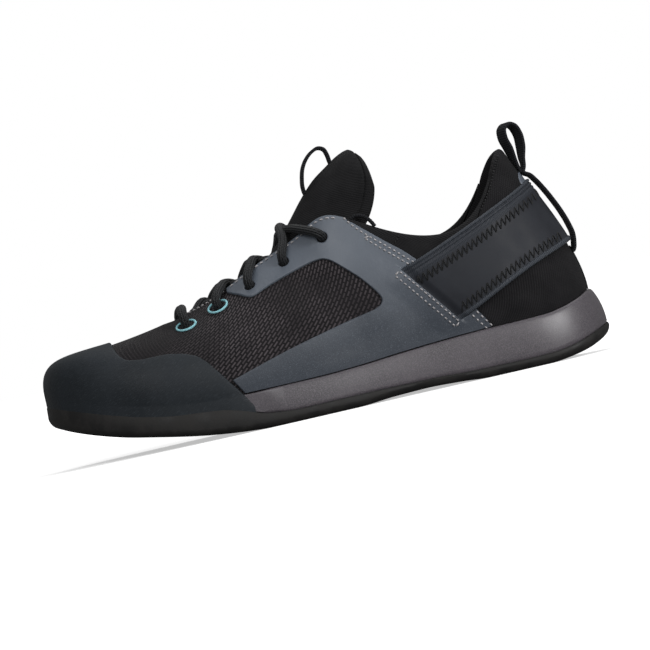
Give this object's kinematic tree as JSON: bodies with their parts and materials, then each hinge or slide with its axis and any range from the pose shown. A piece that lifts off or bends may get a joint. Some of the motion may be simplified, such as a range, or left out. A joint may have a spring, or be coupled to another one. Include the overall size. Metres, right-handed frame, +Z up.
{
  "type": "approach shoe",
  "caption": "Low approach shoe for the left foot: knit upper, rubber toe rand, slate overlays, bound heel strap, pull loops and laced throat over a lugged sole.",
  "frame": {"origin": "under the middle of the shoe's bounding box, on the floor it stands on", "axes": "+Z up, -X towards the toe, +X towards the heel, -Y towards the outer (lateral) side"},
  "size_m": [0.29, 0.102, 0.1329],
  "materials": {
    "outsole_rubber": "matte black",
    "midsole_foam": "grey foam with a slight skin gloss",
    "rand_rubber": "matte blue-black",
    "knit_fabric": "charcoal knit with pale dashes",
    "stretch_fabric": "black stretch fabric over padding",
    "heel_fabric": "charcoal twill",
    "slate_film": "soft satin slate",
    "strap_fabric": "dark grey coated fabric",
    "black_webbing": "ribbed webbing",
    "lace_cord": "braided cord",
    "ring_thread": "pale blue sewing thread",
    "seam_thread": "pale grey sewing thread"
  },
  "bodies": {
    "root": {"outsole": "outsole_rubber", "midsole": "midsole_foam", "toe_rand": "rand_rubber", "upper": "knit_fabric", "quarter_lateral": "slate_film", "quarter_medial": "slate_film", "heel_strap": "strap_fabric", "tongue": "stretch_fabric", "insole": "stretch_fabric", "heel_pull_web": "black_webbing", "heel_pull_loop": "black_webbing", "tongue_pull_loop": "black_webbing", "lace_bar": "lace_cord", "lace_crossing_1": "lace_cord", "lace_crossing_2": "lace_cord", "lace_crossing_3": "lace_cord", "lace_crossing_4": "lace_cord", "eyelet_ring_1_lateral": "ring_thread", "eyelet_ring_1_medial": "ring_thread", "eyelet_ring_2_lateral": "ring_thread", "eyelet_ring_2_medial": "ring_thread"}
  },
  "joints": []
}
